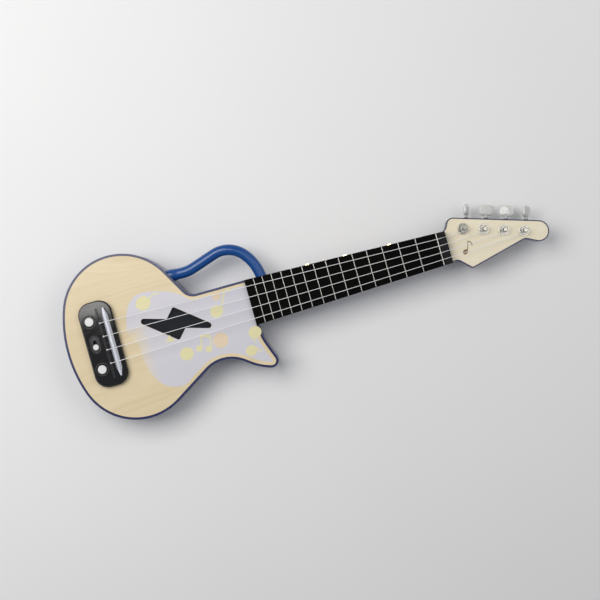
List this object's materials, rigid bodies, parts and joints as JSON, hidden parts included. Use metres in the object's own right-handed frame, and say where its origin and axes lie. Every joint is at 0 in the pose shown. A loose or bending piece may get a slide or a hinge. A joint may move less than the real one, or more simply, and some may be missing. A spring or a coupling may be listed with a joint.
{
  "type": "toy guitar",
  "caption": "Small four-string toy guitar with a round bout, one horn, arched grip, bolt-shaped sound hole, push buttons in the bridge, neck lights and worm tuners.",
  "frame": {"origin": "centre of the whole instrument's outline, on the floor plane that its back rests on", "axes": "+X along the strings towards the headstock, +Y towards the grip and the tuning knobs, +Z out of the face"},
  "size_m": [0.6524, 0.22, 0.0594],
  "materials": {
    "navy_paint": "satin navy lacquer on wood",
    "pale_ply": "pale basswood ply, satin clear coat",
    "steel": "zinc-plated steel",
    "fretboard_black": "black stained hardwood, satin",
    "nickel": "nickel silver wire",
    "chrome": "bright chrome plate",
    "satin_silver": "satin silver coated plastic",
    "black_plastic": "gloss black moulding",
    "white_plastic": "white moulding",
    "pearl_plastic": "milky pearl moulding",
    "clear_plastic": "clear light pipe",
    "blue_paint": "satin blue lacquer on bent wood",
    "circuit_board": "green solder mask",
    "cell_sleeve": "printed sleeve, no marks",
    "speaker_metal": "pressed steel",
    "speaker_paper": "pulp cone",
    "lead_cover": "flexible insulation",
    "nylon": "clear-white nylon"
  },
  "bodies": {
    "instrument": {"body_frame": "navy_paint", "soundboard": "pale_ply", "back_panel": "navy_paint", "back_screws": "steel", "neck": "navy_paint", "neck_screws": "steel", "fretboard": "fretboard_black", "frets": "nickel", "zero_fret": "nickel", "nut": "black_plastic", "head_face": "pale_ply", "light_pipes": "clear_plastic", "light_board": "circuit_board", "lamps": "white_plastic", "handle": "blue_paint", "handle_screws": "steel", "bridge_housing": "black_plastic", "saddle": "satin_silver", "bridge_screws": "steel", "slide_switch": "black_plastic", "tact_switches": "black_plastic", "control_board": "circuit_board", "board_screws": "steel", "speaker_basket": "speaker_metal", "speaker_cone": "speaker_paper", "speaker_grille": "black_plastic", "speaker_screws": "steel", "main_board": "circuit_board", "standoffs": "white_plastic", "battery_tray": "black_plastic", "batteries": "cell_sleeve", "battery_contacts": "steel", "battery_lead": "lead_cover", "speaker_lead": "lead_cover", "light_lead": "lead_cover", "control_lead": "lead_cover", "tuner_bushings": "chrome", "tuner_housings": "chrome", "tuner_screws": "steel", "string_1": "nylon", "string_2": "nylon", "string_3": "nylon", "string_4": "nylon"},
    "post_1": {"post_1": "chrome"},
    "key_1": {"worm_1": "steel", "knob_1": "pearl_plastic"},
    "post_2": {"post_2": "chrome"},
    "key_2": {"worm_2": "steel", "knob_2": "pearl_plastic"},
    "post_3": {"post_3": "chrome"},
    "key_3": {"worm_3": "steel", "knob_3": "pearl_plastic"},
    "post_4": {"post_4": "chrome"},
    "key_4": {"worm_4": "steel", "knob_4": "pearl_plastic"},
    "upper_button": {"upper_button": "white_plastic"},
    "lower_button": {"lower_button": "white_plastic"},
    "switch_knob": {"switch_knob": "white_plastic"},
    "battery_door": {"battery_door": "navy_paint", "door_screws": "steel"}
  },
  "joints": [
    {"name": "key_1_turn", "type": "hinge", "parent": "instrument", "child": "key_1", "pos_m": [0.22348, 0.01634, 0.0226], "axis": [0.2984, 0.9544, 0], "continuous": true},
    {"name": "post_1_turn", "type": "hinge", "parent": "instrument", "child": "post_1", "pos_m": [0.21785, 0.0181, 0.042], "axis": [0, 0, 1], "continuous": true},
    {"name": "key_2_turn", "type": "hinge", "parent": "instrument", "child": "key_2", "pos_m": [0.24887, 0.0084, 0.0226], "axis": [0.2984, 0.9544, 0], "continuous": true},
    {"name": "post_2_turn", "type": "hinge", "parent": "instrument", "child": "post_2", "pos_m": [0.24324, 0.01016, 0.042], "axis": [0, 0, 1], "continuous": true},
    {"name": "key_3_turn", "type": "hinge", "parent": "instrument", "child": "key_3", "pos_m": [0.27426, 0.00047, 0.0226], "axis": [0.2984, 0.9544, 0], "continuous": true},
    {"name": "post_3_turn", "type": "hinge", "parent": "instrument", "child": "post_3", "pos_m": [0.26863, 0.00223, 0.042], "axis": [0, 0, 1], "continuous": true},
    {"name": "key_4_turn", "type": "hinge", "parent": "instrument", "child": "key_4", "pos_m": [0.29965, -0.00747, 0.0226], "axis": [0.2984, 0.9544, 0], "continuous": true},
    {"name": "post_4_turn", "type": "hinge", "parent": "instrument", "child": "post_4", "pos_m": [0.29402, -0.00571, 0.042], "axis": [0, 0, 1], "continuous": true},
    {"name": "upper_button_push", "type": "slide", "parent": "instrument", "child": "upper_button", "axis": [0, 0, -1], "range_m": [0, 0.0012], "stiffness_N_per_m": 600},
    {"name": "lower_button_push", "type": "slide", "parent": "instrument", "child": "lower_button", "axis": [0, 0, -1], "range_m": [0, 0.0012], "stiffness_N_per_m": 600},
    {"name": "switch_slide", "type": "slide", "parent": "instrument", "child": "switch_knob", "axis": [0, 1, 0], "range_m": [0, 0.007]},
    {"name": "battery_door_lift", "type": "slide", "parent": "instrument", "child": "battery_door", "axis": [0, 0, -1], "range_m": [0, 0.025]}
  ],
  "couplings": [
    {"joint": "post_1_turn", "follows": "key_1_turn", "ratio": -0.071429},
    {"joint": "post_2_turn", "follows": "key_2_turn", "ratio": -0.071429},
    {"joint": "post_3_turn", "follows": "key_3_turn", "ratio": -0.071429},
    {"joint": "post_4_turn", "follows": "key_4_turn", "ratio": -0.071429}
  ]
}
